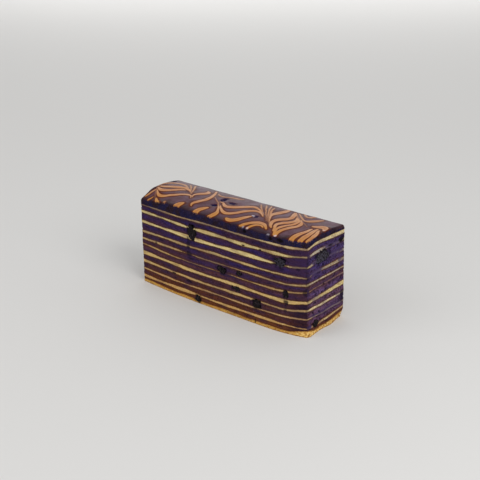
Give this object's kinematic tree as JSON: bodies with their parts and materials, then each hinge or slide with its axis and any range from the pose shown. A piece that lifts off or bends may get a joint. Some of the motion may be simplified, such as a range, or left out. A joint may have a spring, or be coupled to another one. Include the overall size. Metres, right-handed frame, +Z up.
{
  "type": "lapis legit",
  "caption": "Bar cut from a layered butter cake, with thin yellow and purple layers, prune pieces in the cut faces and a feather-marbled top.",
  "frame": {"origin": "middle of the flat base that the bar stands on", "axes": "+Z up, +X along the bar towards the cut end that shows, -Y out of the long cut face that shows"},
  "size_m": [0.181, 0.056, 0.0836],
  "materials": {
    "base_layer": "baked amber sponge, matte and crumbly",
    "yellow_layer": "cut butter sponge, matte",
    "purple_layer": "cut dark purple sponge, matte and crumbly",
    "marbled_top": "baked top, smooth and slightly greasy",
    "prune": "moist dried fruit"
  },
  "bodies": {
    "root": {"yellow_layer_01": "base_layer", "yellow_layer_02": "yellow_layer", "yellow_layer_03": "yellow_layer", "yellow_layer_04": "yellow_layer", "yellow_layer_05": "yellow_layer", "yellow_layer_06": "yellow_layer", "yellow_layer_07": "yellow_layer", "yellow_layer_08": "yellow_layer", "yellow_layer_09": "yellow_layer", "yellow_layer_10": "yellow_layer", "yellow_layer_11": "yellow_layer", "purple_layer_01": "purple_layer", "purple_layer_02": "purple_layer", "purple_layer_03": "purple_layer", "purple_layer_04": "purple_layer", "purple_layer_05": "purple_layer", "purple_layer_06": "purple_layer", "purple_layer_07": "purple_layer", "purple_layer_08": "purple_layer", "purple_layer_09": "purple_layer", "purple_layer_10": "purple_layer", "marbled_top": "marbled_top", "prune_01": "prune", "prune_02": "prune", "prune_03": "prune", "prune_04": "prune", "prune_05": "prune", "prune_06": "prune", "prune_07": "prune", "prune_08": "prune", "prune_09": "prune", "prune_10": "prune", "prune_11": "prune", "prune_12": "prune", "prune_13": "prune", "prune_14": "prune", "prune_15": "prune"}
  },
  "joints": []
}
